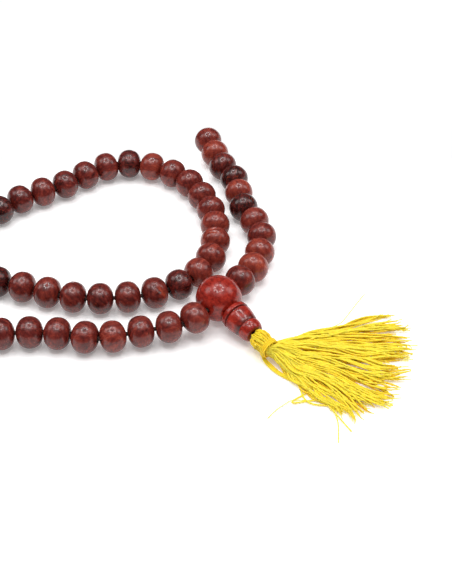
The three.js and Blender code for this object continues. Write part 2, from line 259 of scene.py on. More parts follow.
def new_piece(name, verts, faces, material, body, slot, *nodes, **attributes):
    """A smooth mesh piece that rides on a body and stands for CAD nodes."""
    mesh = bpy.data.meshes.new(name)
    mesh.from_pydata([tuple(v) for v in verts], [], faces)
    mesh.update()
    mesh.polygons.foreach_set("use_smooth", [True] * len(mesh.polygons))
    for key, values in attributes.items():
        kind = "FLOAT_VECTOR" if isinstance(values[0], Vector) else "FLOAT"
        layer = mesh.attributes.new(key, kind, "POINT")
        if kind == "FLOAT_VECTOR":
            layer.data.foreach_set("vector", [x for value in values for x in value])
        else:
            layer.data.foreach_set("value", values)
    mesh.materials.append(material)
    piece = bpy.data.objects.new(name, mesh)
    bpy.context.scene.collection.objects.link(piece)
    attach(piece, body)
    if nodes:
        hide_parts(*nodes)
    return piece


def sweep(path, radius, sides, twist=0, lobe=0, lobes=2, verts=None, faces=None):
    """A closed cord along a path. Its section has lobes, which turn by `twist` for each metre."""
    verts = [] if verts is None else verts
    faces = [] if faces is None else faces
    first = len(verts)
    tangents = [(b - a).normalized() for a, b in zip([path[0], *path], [*path[1:], path[-1]])]
    tangents[0] = (path[1] - path[0]).normalized()
    tangents = [(a + b).normalized() for a, b in zip(tangents, [*tangents[1:], tangents[-1]])]
    side = tangents[0].orthogonal().normalized()
    travelled = 0
    last = len(path) - 1
    for i, (point, tangent) in enumerate(zip(path, tangents)):
        side = (side - tangent * side.dot(tangent)).normalized()
        other = tangent.cross(side)
        if i:
            travelled += (point - path[i - 1]).length
        size = radius(i / last) if callable(radius) else radius
        for k in range(sides):
            angle = 2 * math.pi * k / sides
            reach = size * (1 + lobe * math.cos(lobes * (angle - twist * travelled)))
            verts.append(point + side * (reach * math.cos(angle)) + other * (reach * math.sin(angle)))
    for i in range(last):
        a = first + i * sides
        for k in range(sides):
            after = (k + 1) % sides
            faces.append((a + k, a + after, a + sides + after, a + sides + k))
    faces.append(tuple(range(first + sides - 1, first - 1, -1)))
    faces.append(tuple(range(first + last * sides, first + (last + 1) * sides)))
    return verts, faces


def string_cotton():
    """Dyed braided cotton: matt, with a small diagonal plait along the cord."""
    material, tree, shader = new_material("string_cotton")
    place = add(tree, "ShaderNodeTexCoord").outputs["Object"]
    plait = add(tree, "ShaderNodeTexNoise", {"Vector": place, "Scale": 2600, "Detail": 3})
    colour = ramp(tree, plait.outputs["Fac"], (0.3, "#1A0B09"), (0.7, "#42211B"))
    tree.links.new(colour, shader.inputs["Base Color"])
    raised = add(tree, "ShaderNodeBump", {"Height": plait.outputs["Fac"], "Strength": 0.5,
                                          "Distance": 0.05 * MM})
    tree.links.new(raised.outputs["Normal"], shader.inputs["Normal"])
    shader.inputs["Roughness"].default_value = 0.85
    return material


string_material = string_cotton()
inside = guru_bore * (GURU_RADIUS - DEPTH_IN_GURU)
string_line = [first_hole + inside]
for start, end in zip(gaps, gaps[1:]):
    string_line += [start.lerp(end, share) for share in STRING_SHARES]
string_line.append(last_hole - inside)
verts, faces = sweep(string_line, STRING_RADIUS, STRING_SIDES, **BRAID)
new_piece("string_cord", verts, faces, string_material, "strand", "string_cord", "string")

# ---- The beads ----
# Rosewood, turned to a slightly flattened ball about 8 mm across, bored along its short way, rubbed with
# wax and tumbled. Each is a little different in size, tone and grain, and a few were chipped or
# scored before they were waxed.
BEAD_HALF_LENGTH = 3.32 * MM  # on the axis, where the hole then takes the ends off
BEAD_FULLNESS = 2.25  # 2 is an ellipse
BEAD_BORE_RADIUS = 0.9 * MM
HOLE_EDGE = 1.15 * MM
BELLY_STEPS = 20
BEAD_SIDES = 40
SCORED_SIDES, SCORED_STEPS = 96, 56
SMALLEST, SHORTEST = 0.975, 0.98  # shares of the full diameter and length
TONE_SPREAD = 0.05
# How much paler the beads farthest back are made: painted light, as if more light fell on them from
# behind.
PAINTED_LIGHT_BY = 0.08
UNEVENNESS = 0.045 * MM
UNEVEN_OVER = 3.5 * MM
chance = random.Random(108)


def rosewood(name, dark, middle, light, glow, smoothest, dullest):
    """Waxed rosewood: soft mottling, fine fibre streaks, small red flecks and a satin shine."""
    material, tree, shader = new_material(name)
    grain = add(tree, "ShaderNodeAttribute", attribute_name="grain").outputs["Vector"]
    tone = add(tree, "ShaderNodeAttribute", attribute_name="tone").outputs["Fac"]
    along = add(tree, "ShaderNodeMapping", {"Vector": grain, "Scale": (0.45, 1, 1)})
    mottle = add(tree, "ShaderNodeTexNoise", {"Vector": along.outputs["Vector"], "Scale": 0.8,
                                              "Detail": 5, "Roughness": 0.62, "Distortion": 0.3})
    rings = add(tree, "ShaderNodeTexWave", {"Vector": along.outputs["Vector"], "Scale": 0.32,
                                            "Distortion": 6, "Detail": 2, "Detail Scale": 0.8},
                bands_direction="Y")
    fibre_place = add(tree, "ShaderNodeMapping", {"Vector": grain, "Scale": (0.22, 1, 1)})
    fibres = add(tree, "ShaderNodeTexNoise", {"Vector": fibre_place.outputs["Vector"], "Scale": 4.2,
                                              "Detail": 3, "Roughness": 0.65})
    flecks = add(tree, "ShaderNodeTexNoise", {"Vector": along.outputs["Vector"], "Scale": 2.6,
                                              "Detail": 2})
    blend = add(tree, "ShaderNodeMath", {0: rings.outputs["Fac"], 1: 0.07}, operation="MULTIPLY")
    body = add(tree, "ShaderNodeMath", {0: mottle.outputs["Fac"], 1: 0.93, 2: blend.outputs[0]},
               operation="MULTIPLY_ADD")
    toned = add(tree, "ShaderNodeMath", {0: body.outputs[0], 1: tone}, operation="ADD")
    base = ramp(tree, toned.outputs[0], (0.28, dark), (0.72, light), (0.5, middle), (0.95, glow))
    bright = add(tree, "ShaderNodeMapRange", {"Value": flecks.outputs["Fac"], "From Min": 0.58,
                                              "From Max": 0.72, "To Max": 0.45})
    flecked = add(tree, "ShaderNodeMix", {0: bright.outputs["Result"], 6: base, 7: srgb(glow)},
                  data_type="RGBA")
    streak = ramp(tree, fibres.outputs["Fac"], (0.32, "#8A7C7C"), (0.62, "#FFFFFF"))
    streaked = add(tree, "ShaderNodeMix", {0: 0.45, 6: flecked.outputs[2], 7: streak},
                   data_type="RGBA", blend_type="MULTIPLY")
    tree.links.new(streaked.outputs[2], shader.inputs["Base Color"])
    waxed = add(tree, "ShaderNodeMapRange", {"Value": mottle.outputs["Fac"], "From Min": 0.35,
                                             "From Max": 0.65, "To Min": smoothest, "To Max": dullest})
    tree.links.new(waxed.outputs["Result"], shader.inputs["Roughness"])
    pits = add(tree, "ShaderNodeMath", {0: fibres.outputs["Fac"], 1: mottle.outputs["Fac"]},
               operation="ADD")
    raised = add(tree, "ShaderNodeBump", {"Height": pits.outputs[0], "Strength": 0.35,
                                          "Distance": 0.03 * MM})
    tree.links.new(raised.outputs["Normal"], shader.inputs["Normal"])
    shader.inputs["IOR"].default_value = 1.5
    shader.inputs["Specular IOR Level"].default_value = 0.45
    return material


bead_wood = rosewood("waxed_rosewood", "#2E0F0E", "#66211D", "#8E372B", "#AE4A32", 0.16, 0.28)


def frame_on(centre, axis):
    """Where a turned piece stands: its own Y along the axis, and its Z as near to up as can be."""
    across = (UP - axis * UP.dot(axis)).normalized()
    turn = Matrix((axis.cross(across), axis, across)).transposed().to_4x4()
    return Matrix.Translation(centre) @ turn


def lathe(profile, sides):
    """Rings about local Y through a closed profile of (radius, height)."""
    verts = []
    for radius, height in profile:
        for k in range(sides):
            angle = 2 * math.pi * k / sides
            verts.append(Vector((radius * math.sin(angle), height, radius * math.cos(angle))))
    rings = len(profile)
    faces = []
    for i in range(rings):
        a, b = i * sides, (i + 1) % rings * sides
        for k in range(sides):
            after = (k + 1) % sides
            faces.append((a + k, a + after, b + after, b + k))
    return verts, faces


def bead_profile(radius, half, steps):
    """From one edge of the hole over the belly to the other, and back through the bore."""
    power = 2 / BEAD_FULLNESS
    start = math.asin((HOLE_EDGE / radius) ** (1 / power))
    outside = []
    for i in range(steps + 1):
        angle = start + (math.pi - 2 * start) * i / steps
        height = math.copysign(abs(math.cos(angle)) ** power, math.cos(angle))
        outside.append((radius * math.sin(angle) ** power, -half * height))
    edge = -outside[0][1]
    rim = [(BEAD_BORE_RADIUS, edge - 0.3 * MM), (BEAD_BORE_RADIUS + 0.04 * MM, edge - 0.06 * MM),
           (BEAD_BORE_RADIUS + 0.14 * MM, edge + 0.01 * MM)]
    return [(r, -y) for r, y in rim] + outside + list(reversed(rim))


def wood_grain(verts, seed):
    """Each piece is sawn from the plank its own way: grain coordinates in mm."""
    draw = random.Random(seed)
    turn = Matrix.Rotation(draw.uniform(0, math.tau), 3, "Y")
    turn = turn @ Matrix.Rotation(draw.uniform(-0.7, 0.7), 3, "X")
    turn = turn @ Matrix.Rotation(math.pi / 2 + draw.uniform(-0.6, 0.6), 3, "Z")
    shift = Vector([draw.uniform(-200, 200) for _ in range(3)])
    return [turn @ (v / MM) + shift for v in verts]


def score(verts, radius, marks):
    """Presses marks into a bead: each (turn, height, length, width, depth, slant, tone) in mm and
    degrees. Returns how much each point's tone changes: fresh wood is paler, a chip is darker."""
    bared = [0.0] * len(verts)
    for turn, height, length, width, depth, slant, tone in marks:
        angle = math.radians(turn)
        lean = math.radians(slant)
        spot = Vector((math.sin(angle), 0, math.cos(angle)))
        side = Vector((math.cos(angle), 0, -math.sin(angle)))
        for i, v in enumerate(verts):
            if v.dot(spot) < 0:
                continue
            x = v.dot(side) / MM
            y = v.y / MM - height
            u = (x * math.cos(lean) + y * math.sin(lean)) / length
            w = (y * math.cos(lean) - x * math.sin(lean)) / width
            fade = math.exp(-(u * u) ** 2 - w * w)
            out = Vector((v.x, 0, v.z))
            if out.length > 0.5 * radius:
                v -= out.normalized() * depth * MM * fade
                bared[i] += tone * fade
    return bared


MARKS = {
    27: [(-38, -1.9, 1.7, 0.35, 0.4, 62, -0.3)],
    30: [(52, 1.2, 1.5, 0.5, 0.3, 25, 0.4), (40, 0.2, 1.1, 0.2, 0.2, 25, -0.2)],
    34: [(-10, 0.6, 1.6, 0.35, 0.3, 12, 0.25), (-10, -0.7, 1.5, 0.35, 0.25, -8, 0.2)],
    41: [(35, -1.0, 0.8, 0.3, 0.15, 30, 0.3)],
}
TONES = {
    1: 0.06, 2: 0.08, 24: -0.1, 31: -0.06, 32: 0.04, 34: 0.05, 40: 0.2, 41: -0.14, 47: -0.16,
    99: 0.1, 100: -0.04, 101: -0.12, 102: 0.08, 103: -0.08, 104: 0.08, 107: 0.16,
}
# The beads farthest back, made paler: painted light.
PAINTED_LIGHT_BEADS = (32, 33, 34, 35, 36, 37, 38, 39, 98, 99, 102, 104, 105, 106)
RUNS = {(int(n[6:9]), int(n[-3:])): n for n in frame["nodes"] if n.startswith("beads_")}


def make_bead(number):
    """One bead in its gap on the string, on its own body if it turns and on the strand if not."""
    start, end = gaps[number - 1], gaps[number]
    axis = (end - start).normalized()
    size = chance.uniform(SMALLEST, 1)
    length = chance.uniform(SHORTEST, 1)
    tone = chance.gauss(0, TONE_SPREAD)
    scored = number in MARKS
    sides, steps = (SCORED_SIDES, SCORED_STEPS) if scored else (BEAD_SIDES, BELLY_STEPS)
    radius = BEAD_RADIUS * size
    verts, faces = lathe(bead_profile(radius, BEAD_HALF_LENGTH * length, steps), sides)
    for v in verts:
        out = Vector((v.x, 0, v.z))
        if out.length > 1.3 * BEAD_BORE_RADIUS:
            uneven = noise.noise(v / UNEVEN_OVER + Vector((number * 7.3, 0, 0)))
            v -= out.normalized() * (UNEVENNESS * (uneven + 1))
    bared = score(verts, radius, MARKS.get(number, []))
    grain = wood_grain(verts, number)
    place = frame_on((start + end) / 2, axis)
    name = f"bead_{number:03d}"
    node = name if name in frame["nodes"] else None
    for (first, last), run in RUNS.items():
        if first <= number <= last:
            node = run
    body = name if name in frame["bodies"] else "strand"
    # The beads farthest back get painted light on top of their own tone.
    tone += TONES.get(number, 0) + (PAINTED_LIGHT_BY if number in PAINTED_LIGHT_BEADS else 0)
    tones = [tone + change for change in bared]
    new_piece(f"wood_{name}", [place @ v for v in verts], faces, bead_wood, body, "bead_wood", node,
              grain=grain, tone=tones)


for number in range(1, BEAD_COUNT + 1):
    make_bead(number)

# ---- The guru bead ----
# A larger ball of the same timber's redder heartwood. The string's two strands enter its straight
# bore from both sides and leave it together by a third hole.
GURU_SIDE_BORE = 0.7 * MM
GURU_OUTLET = 1.2 * MM
OUTLET_ROUNDING = 0.25 * MM
GURU_SIDES, GURU_STEPS = 72, 48
GURU_UNEVENNESS = 0.006
GURU_UNEVEN_OVER = 5 * MM
DRILL_SIDES = 32
guru_wood = rosewood("waxed_red_rosewood", "#5E110B", "#8F2118", "#B43324", "#C8452F", 0.14, 0.24)


def cut_bore(piece, axis, radius, start, end):
    """Drills a straight hole through a piece, from start to end along the axis."""
    verts, faces = lathe([(radius, start), (radius, end)], DRILL_SIDES)
    ends = [tuple(range(DRILL_SIDES)), tuple(range(2 * DRILL_SIDES - 1, DRILL_SIDES - 1, -1))]
    faces = faces[:DRILL_SIDES] + ends
    mesh = bpy.data.meshes.new("drill")
    mesh.from_pydata([tuple(frame_on(guru_centre, axis) @ v) for v in verts], [], faces)
    solid = bmesh.new()
    solid.from_mesh(mesh)
    bmesh.ops.recalc_face_normals(solid, faces=solid.faces)
    solid.to_mesh(mesh)
    solid.free()
    drill = bpy.data.objects.new("drill", mesh)
    bpy.context.scene.collection.objects.link(drill)
    cut = piece.modifiers.new("drill", "BOOLEAN")
    cut.object = drill
    cut.solver = "EXACT"
    bpy.context.view_layer.update()
    evaluated = piece.evaluated_get(bpy.context.evaluated_depsgraph_get())
    drilled = bpy.data.meshes.new_from_object(evaluated)
    piece.modifiers.remove(cut)
    piece.data = drilled
    bpy.data.objects.remove(drill)


def guru_profile():
    """A ball with the outlet bored to its centre, from the bore's end round to the far pole."""
    rim = GURU_OUTLET + OUTLET_ROUNDING
    start = math.asin(rim / GURU_RADIUS)
    outside = []
    for i in range(GURU_STEPS + 1):
        angle = start + (math.pi - start) * i / GURU_STEPS
        outside.append((max(GURU_RADIUS * math.sin(angle), 0.01 * MM), GURU_RADIUS * math.cos(angle)))
    edge = outside[0][1]
    return [(0.01 * MM, 0), (GURU_OUTLET, 0), (GURU_OUTLET, edge - 0.3 * MM),
            (GURU_OUTLET + 0.08 * MM, edge)] + outside


verts, faces = lathe(guru_profile(), GURU_SIDES)
for v in verts:
    reach = v.length
    if reach > 0.9 * GURU_RADIUS:
        v *= 1 - GURU_UNEVENNESS * (noise.noise(v / GURU_UNEVEN_OVER) + 1)
place = frame_on(guru_centre, outlet)
guru = new_piece("wood_guru_bead", [place @ v for v in verts], [tuple(reversed(f)) for f in faces],
                 guru_wood, "guru", "guru_wood", "guru_bead", grain=wood_grain(verts, 500),
                 tone=[0.03] * len(verts))
for end in (-1, 1):
    cut_bore(guru, guru_bore * end, GURU_SIDE_BORE, 1.0 * MM, GURU_RADIUS + 1 * MM)

# ---- The tower bead ----
# The stupa, turned in one piece from the same red wood: a thin dished collar against the guru bead,
# a scored groove, a rounded body that draws in to a waist, and a cap with a mouth. Shade is painted
# into the groove, the waist and the mouth as a darker colour.
STUPA_BORE = 1.2 * MM
STUPA_MOUTH = 14.1 * MM
DISH_RADIUS = 30  # mm, of the hollow in the collar's face


def dished(radius):
    """The height of the collar's face, in mm from the guru bead's centre."""
    bore, ball = STUPA_BORE / MM, GURU_RADIUS / MM
    edge = math.sqrt(ball ** 2 - bore ** 2) + 0.3 + math.sqrt(DISH_RADIUS ** 2 - radius ** 2)
    return edge - math.sqrt(DISH_RADIUS ** 2 - bore ** 2)


def stupa_profile():
    """Heights are from the guru bead's centre."""
    dish = [(r, dished(r)) for r in (1.2, 1.8, 2.4, 3.0, 3.4)]
    collar = [(3.52, 5.8), (3.58, 5.92), (3.6, 6.2), (3.64, 6.5), (3.69, 6.72), (3.67, 6.86),
              (3.54, 6.94), (3.3, 6.97)]
    groove = [(3.14, 7.0), (3.08, 7.08), (3.1, 7.18), (3.24, 7.26)]
    body = [(3.42, 7.33), (3.54, 7.46), (3.6, 7.7), (3.6, 8.05), (3.55, 8.6), (3.47, 9.2),
            (3.36, 9.8), (3.23, 10.4), (3.1, 10.9), (2.98, 11.2)]
    waist = [(2.88, 11.33), (2.82, 11.39), (2.87, 11.46)]
    cap = [(2.95, 11.55), (3.0, 11.75), (3.01, 12.1), (2.97, 12.55), (2.87, 13.0), (2.72, 13.4),
           (2.54, 13.72), (2.4, 13.92), (2.28, 14.03), (2.08, 14.09), (1.5, 14.09)]
    mouth = [(1.27, 14.02), (1.2, 13.85)]
    return [(r * MM, y * MM) for r, y in dish + collar + groove + body + waist + cap + mouth]


def tower_wood():
    """The guru's wood, with shade painted dark into what the turning tool left low: groove, waist, mouth.
    """
    material = guru_wood.copy()
    material.name = "waxed_red_rosewood_turned"
    tree = material.node_tree
    shader = next(n for n in tree.nodes if n.type == "BSDF_PRINCIPLED")
    colour = shader.inputs["Base Color"].links[0].from_socket
    worn = add(tree, "ShaderNodeAttribute", attribute_name="worn").outputs["Fac"]
    # Painted shade: the recesses are mixed towards a dark red-brown.
    darkened = add(tree, "ShaderNodeMix", {0: worn, 6: colour, 7: srgb("#3A1512")},
                   data_type="RGBA")
    tree.links.new(darkened.outputs[2], shader.inputs["Base Color"])
    return material


def worn(turn, height):
    """How much shade is painted onto the wood at a height in mm: groove, the streaky band at the waist,
    and mouth.
    """
    streak = noise.noise(Vector((math.cos(turn) * 3, math.sin(turn) * 3, height * 0.6)))
    groove = math.exp(-((height - 7.1) / 0.14) ** 2)
    waist = 0.0
    if height < 11.4:
        waist = (0.7 + 0.5 * streak) / (1 + math.exp((10.25 + 0.5 * streak - height) / 0.16))
    step = 0.6 * math.exp(-((height - 11.4) / 0.07) ** 2)
    mouth = 0.4 / (1 + math.exp((13.92 - height) / 0.06))
    return min(1, max(0, groove + waist + step + mouth + 0.1 * streak))


verts, faces = lathe(stupa_profile(), GURU_SIDES)
place = frame_on(guru_centre, outlet)
# Shade is painted into the tower bead's groove, waist and mouth.
new_piece("wood_stupa", [place @ v for v in verts], faces, tower_wood(), "stupa", "guru_wood", "stupa",
          grain=wood_grain(verts, 501), tone=[0.05] * len(verts),
          worn=[worn(math.atan2(v.x, v.z), v.y / MM) for v in verts])

# ---- The string's two ends, and their knot ----
# The strands turn together out of the guru bead, run side by side through the tower bead and are tied
# in a knot, which holds the tassel's folded threads.
STRAND_GAP = 0.42 * MM
STRAND_RADIUS = 0.4 * MM
STRAND_STEPS = 24
STRAND_TURN = 2.4  # radians, from the guru bead to the knot
STRAND_START = 0.9 * MM
stupa_mouth = guru_centre + outlet * STUPA_MOUTH
across = outlet.cross(UP).normalized()
over = across.cross(outlet)
for name, side in (("string_end_left", -1), ("string_end_right", 1)):
    line = []
    for i in range(STRAND_STEPS + 1):
        point = (guru_centre + outlet * STRAND_START).lerp(knot_centre, i / STRAND_STEPS)
        angle = STRAND_TURN * i / STRAND_STEPS
        line.append(point + (across * math.cos(angle) + over * math.sin(angle)) * (STRAND_GAP * side))
    verts, faces = sweep(line, STRAND_RADIUS, STRING_SIDES, **BRAID)
    mesh = bpy.data.meshes.new(name)
    mesh.from_pydata([tuple(v) for v in verts], [], faces)
    mesh.polygons.foreach_set("use_smooth", [True] * len(mesh.polygons))
    mesh.materials.append(string_material)
    strand = bpy.data.objects.new(name, mesh)
    bpy.context.scene.collection.objects.link(strand)
    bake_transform(strand)
    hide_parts("string_tail")

KNOT_SIZE = 0.5 * MM
KNOT_STEPS = 72
KNOT_CORD_RADIUS = 0.32 * MM
KNOT_CORD_SIDES = 8
trefoil = []
for i in range(KNOT_STEPS + 1):
    t = 2 * math.pi * i / KNOT_STEPS
    trefoil.append(knot_centre + across * (KNOT_SIZE * (math.sin(t) + 0.9 * math.sin(2 * t)))
                   + over * (KNOT_SIZE * (math.cos(t) - 0.9 * math.cos(2 * t)))
                   - outlet * (KNOT_SIZE * math.sin(3 * t)))
verts, faces = sweep(trefoil, KNOT_CORD_RADIUS, KNOT_CORD_SIDES)
new_piece("string_end_knot", verts, faces, string_material, "tassel", "string_cord", "string_knot")

# ---- The tassel ----
# Bright yellow mercerised cotton: two-ply threads folded over the knot, bound below it with a few
# turns of the same thread, and left to fan out on the table. Their cut ends have untwisted a little.
THREAD_RADIUS = 0.24 * MM
THREAD_TWIST = 2600  # radians a metre, for a full turn in 2.4 mm
HEAD_START = 0.12 * MM
BINDING_START = 4.5 * MM
BINDING_WIDTH = 1.6 * MM
BINDING_LAYERS = ((4.0, 2.05), (2.6, 2.38))  # turns, and how far out in mm
BINDING_STEPS = 24  # to each turn
THREAD_SPACING = 0.3 * MM
SKIRT_SPACING = 0.34 * MM
draw = random.Random(27)


def tassel_cotton():
    """Mercerised cotton thread: a soft silky yellow that turns golden where threads shade it."""
    material, tree, shader = new_material("tassel_cotton")
    place = add(tree, "ShaderNodeTexCoord").outputs["Object"]
    shade = add(tree, "ShaderNodeAttribute", attribute_name="shade").outputs["Fac"]
    fluff = add(tree, "ShaderNodeTexNoise", {"Vector": place, "Scale": 900, "Detail": 3})
    tinted = add(tree, "ShaderNodeMath", {0: fluff.outputs["Fac"], 1: 0.35, 2: shade},
                 operation="MULTIPLY_ADD")
    colour = ramp(tree, tinted.outputs[0], (0.0, "#ECB11A"), (0.95, "#F5E142"), (0.5, "#F1CF26"))
    tree.links.new(colour, shader.inputs["Base Color"])
    shader.inputs["Roughness"].default_value = 0.6
    shader.inputs["Specular IOR Level"].default_value = 0.3
    shader.inputs["Subsurface Weight"].default_value = 0.35
    shader.inputs["Subsurface Radius"].default_value = (1, 0.7, 0.15)
    shader.inputs["Subsurface Scale"].default_value = 0.6 * MM
    shader.inputs["Sheen Weight"].default_value = 0.15
    shader.inputs["Sheen Roughness"].default_value = 0.5
    shader.inputs["Sheen Tint"].default_value = srgb("#FFF3A0")
    return material


cotton = tassel_cotton()


class Threads:
    """Many threads gathered into one piece."""

    def __init__(self):
        self.verts, self.faces, self.shade = [], [], []

    def lay(self, path, radius=THREAD_RADIUS, sides=6, shade=None, lobe=0.16):
        before = len(self.verts)
        sweep(path, radius, sides, THREAD_TWIST, lobe, 2, self.verts, self.faces)
        shade = draw.uniform(0.15, 0.6) if shade is None else shade
        self.shade += [shade] * (len(self.verts) - before)

    def gather(self, name, *nodes):
        return new_piece(name, self.verts, self.faces, cotton, "tassel", "tassel_cotton", *nodes,
                         shade=self.shade)


def around(angle, radius, height):
    """A point about the outlet's axis, `height` past the tower bead's mouth."""
    return (stupa_mouth + outlet * height
            + (across * math.cos(angle) + over * math.sin(angle)) * radius)


def resample(path, spacing):
    """The same line with points an even distance apart."""
    line = smooth_curve(path, 8)
    made = [line[0]]
    travelled = 0
    for a, b in zip(line, line[1:]):
        length = (b - a).length
        while travelled + length >= spacing:
            share = (spacing - travelled) / length
            a = a.lerp(b, share)
            length = (b - a).length
            travelled = 0
            made.append(a)
        travelled += length
    return made


# The head: threads come up out of the binding, over the crown and down into the mouth.
HEAD_LAYERS = ((2.2, 28), (1.8, 20))
head = Threads()
for radius, count in HEAD_LAYERS:
    for k in range(count):
        start = 2 * math.pi * (k + draw.uniform(-0.25, 0.25)) / count
        slant = draw.uniform(0.1, 0.5)
        crown = HEAD_START + (2.35 - radius) * MM + draw.uniform(0, 0.5) * MM
        path = [around(start + slant, radius * 0.86 * MM, BINDING_START + 0.6 * MM)]
        for share, reach in ((0.75, 0.97), (0.5, 1.05), (0.28, 1.0), (0.12, 0.86)):
            height = crown + (BINDING_START - crown) * share
            wander = draw.uniform(-0.05, 0.05)
            path.append(around(start + slant * share + wander, radius * reach * MM, height))
        path.append(around(start, radius * 0.74 * MM, crown))
        path.append(around(start - 0.15, radius * 0.5 * MM, crown + 0.45 * MM))
        path.append(around(start - 0.2, radius * 0.5 * MM, crown + 1.6 * MM))
        head.lay(resample(path, THREAD_SPACING))
head.gather("tassel_head_threads", "tassel_head")

# The binding: one thread wound round, a first layer of turns and a few slanting ones over it.
binding = Threads()
for layer, (turns, reach) in enumerate(BINDING_LAYERS):
    path = []
    steps = int(turns * BINDING_STEPS)
    for i in range(steps + 1):
        share = i / steps
        back = share if layer == 0 else 1 - share
        lean = 0.2 * math.cos(2 * math.pi * turns * share) * MM
        height = BINDING_START + 0.2 * MM + back * (BINDING_WIDTH - 0.4 * MM) + lean
        path.append(around(2 * math.pi * turns * share, reach * MM, height))
    binding.lay(path, THREAD_RADIUS, 8, 0.22)
binding.gather("tassel_binding_thread", "tassel_binding")

# The skirt: guide lines across the fan, in mm from a point inside the binding. A thread
# follows a place between two of them, in a clump that draws together towards its tip.
FAN_GUIDES = [
    [(0.4, 0.4), (3.6, 3.0), (8, 6.2), (13, 8.8), (19, 10.9), (25, 12.6), (32.5, 14.8)],
    [(0.4, 0.3), (3.6, 2.3), (8, 4.6), (13, 5.9), (19, 6.4), (26, 7.0), (34.5, 8.2)],
    [(0.4, 0.2), (4.4, 1.4), (9, 2.4), (15, 2.4), (21, 1.7), (27, 0.6), (34.5, 0.4)],
    [(0.3, 0.0), (4.4, -0.4), (9, -0.9), (15, -2.3), (21, -4.0), (27, -5.4), (33.5, -6.5)],
    [(0.2, -0.2), (3.8, -1.9), (8, -3.8), (13.5, -6.2), (19, -9.0), (24, -11.6), (29, -13.8)],
    [(0.1, -0.4), (3.2, -3.0), (7, -5.9), (11.5, -9.2), (16, -12.8), (20, -16.4), (24, -20.2)],
    [(0.0, -0.5), (2.2, -3.6), (4.7, -6.9), (7.6, -10.0), (10.8, -13.2), (13.4, -16.4), (16, -20.5)],
]
FAN_GUIDES = [[Vector(p) * MM for p in guide] for guide in FAN_GUIDES]
FAN_LINES = [smooth_curve([p.to_3d() for p in guide], 6) for guide in FAN_GUIDES]
FAN_ORIGIN = 19.3 * MM
root = stupa_mouth + outlet * (BINDING_START + BINDING_WIDTH)
fan_root = guru_centre + outlet * FAN_ORIGIN
THREADS_IN_SKIRT = 190
LAST_GUIDE = len(FAN_LINES) - 1
NECK_REACH = 1.5 * MM
HEAP_CREST, HEAP_HALF_WIDTH = 3, 4.2  # places across the fan
HEAP_BY_BINDING, HEAP_AT_TIPS, HEAP_EDGE = 3.9, 0.9, 0.35  # mm
HEAP_FALL = 3.2
POINTS_IN_THREAD = 20


def fan_point(place, share):
    """Where a thread at this place across the fan is, after this share of its length."""
    place = min(max(place, 0), len(FAN_LINES) - 1.001)
    line, between = int(place), place % 1
    at = share * (len(FAN_LINES[0]) - 1)
    i = min(int(at), len(FAN_LINES[0]) - 2)
    rest = at - i
    a = FAN_LINES[line][i].lerp(FAN_LINES[line][i + 1], rest)
    b = FAN_LINES[line + 1][i].lerp(FAN_LINES[line + 1][i + 1], rest)
    return a.lerp(b, between)


def pile_height(place, share):
    """The height of the heap of threads in mm: thick by the binding, thin at the edges and tips."""
    crest = 1 - abs(place - HEAP_CREST) / HEAP_HALF_WIDTH
    along = HEAP_BY_BINDING * math.exp(-share * HEAP_FALL) + HEAP_AT_TIPS
    return HEAP_EDGE + along * (0.35 + 0.65 * max(crest, 0))


CLUMPS = 38
clumps = []
for k in range(CLUMPS):
    spaced = (k + draw.uniform(-0.35, 0.35)) / (CLUMPS - 1)
    centred = 0.5 + (spaced - 0.5) * (0.78 + 0.22 * abs(2 * spaced - 1))
    clumps.append((LAST_GUIDE * centred, draw.gauss(0, 0.16), draw.uniform(0, math.tau),
                   draw.uniform(0.84, 1.03), draw.uniform(0.45, 1.0)))


def neck_spot(place, depth):
    """Where a thread passes the binding: on the side of its place in the fan, high or low."""
    x = (2 * min(max(place / LAST_GUIDE, 0), 1) - 1) * 0.94
    y = (2 * depth - 1) * math.sqrt(1 - x * x)
    return (across * x + over * y) * NECK_REACH


